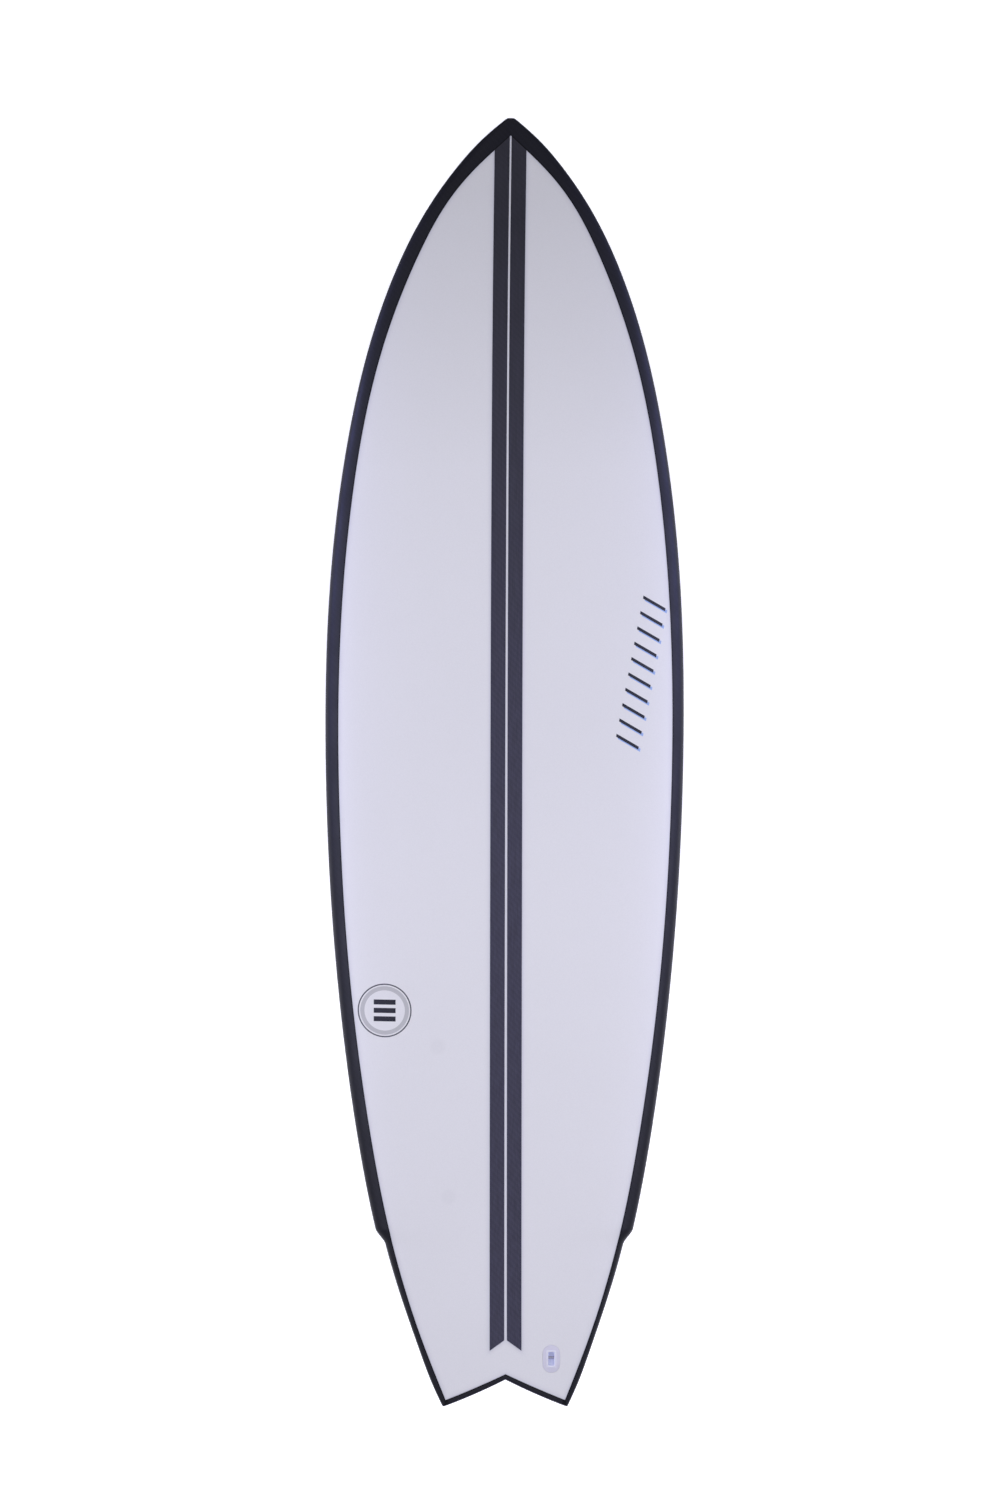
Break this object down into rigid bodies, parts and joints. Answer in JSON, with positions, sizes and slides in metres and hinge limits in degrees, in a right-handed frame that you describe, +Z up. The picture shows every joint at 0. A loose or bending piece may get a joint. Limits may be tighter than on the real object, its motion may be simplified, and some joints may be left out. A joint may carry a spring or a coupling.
{
  "type": "shortboard surfboard",
  "caption": "Shortboard with a winged swallow tail, pale foam-cored body, dark rails and centre tapes, leash plug and a pair of removable raked fins.",
  "frame": {"origin": "bottom centre of the bounding box of the board at rest, deck up, lying on its belly and both fin tips", "axes": "+Y from the tail towards the nose, +Z up out of the deck, +X to the right seen from the deck with the nose ahead"},
  "size_m": [0.4964, 1.7768, 0.172],
  "materials": {
    "deck_skin": "satin",
    "bottom_skin": "satin",
    "carbon_tape": "satin",
    "stringer_foam": "matte",
    "rail_laminate": "satin",
    "rail_foam": "matte",
    "core_foam": "matte",
    "plug_plastic": "satin",
    "dense_foam": "matte",
    "box_plastic": "satin",
    "fin_composite": "satin",
    "steel": "satin"
  },
  "bodies": {
    "board": {"deck_laminate": "deck_skin", "bottom_laminate": "bottom_skin", "deck_carbon_strip_left": "carbon_tape", "deck_carbon_strip_right": "carbon_tape", "bottom_carbon_strip_left": "carbon_tape", "bottom_carbon_strip_right": "carbon_tape", "stringer": "stringer_foam", "rail_wrap_left": "rail_laminate", "rail_wrap_right": "rail_laminate", "rail_core_left": "rail_foam", "rail_core_right": "rail_foam", "foam_core_left": "core_foam", "foam_core_right": "core_foam", "leash_plug_cup": "plug_plastic", "leash_plug_pin": "steel", "leash_plug_insert": "dense_foam", "fin_box_left": "box_plastic", "fin_box_right": "box_plastic", "fin_box_insert_left": "dense_foam", "fin_box_insert_right": "dense_foam"},
    "fin_left": {"fin_left": "fin_composite"},
    "fin_screw_left": {"fin_screw_left": "steel"},
    "fin_right": {"fin_right": "fin_composite"},
    "fin_screw_right": {"fin_screw_right": "steel"}
  },
  "joints": [
    {"name": "fin_slide_left", "type": "slide", "parent": "board", "child": "fin_left", "axis": [-0.1161, -0.1889, -0.9751], "range_m": [0, 0.02]},
    {"name": "fin_screw_turn_left", "type": "hinge", "parent": "board", "child": "fin_screw_left", "pos_m": [-0.11643, -0.5891, 0.10423], "axis": [-0.06, 0.5598, -0.8264], "continuous": true},
    {"name": "fin_slide_right", "type": "slide", "parent": "board", "child": "fin_right", "axis": [0.1161, -0.1889, -0.9751], "range_m": [0, 0.02]},
    {"name": "fin_screw_turn_right", "type": "hinge", "parent": "board", "child": "fin_screw_right", "pos_m": [0.11643, -0.5891, 0.10423], "axis": [0.06, 0.5598, -0.8264], "continuous": true}
  ]
}
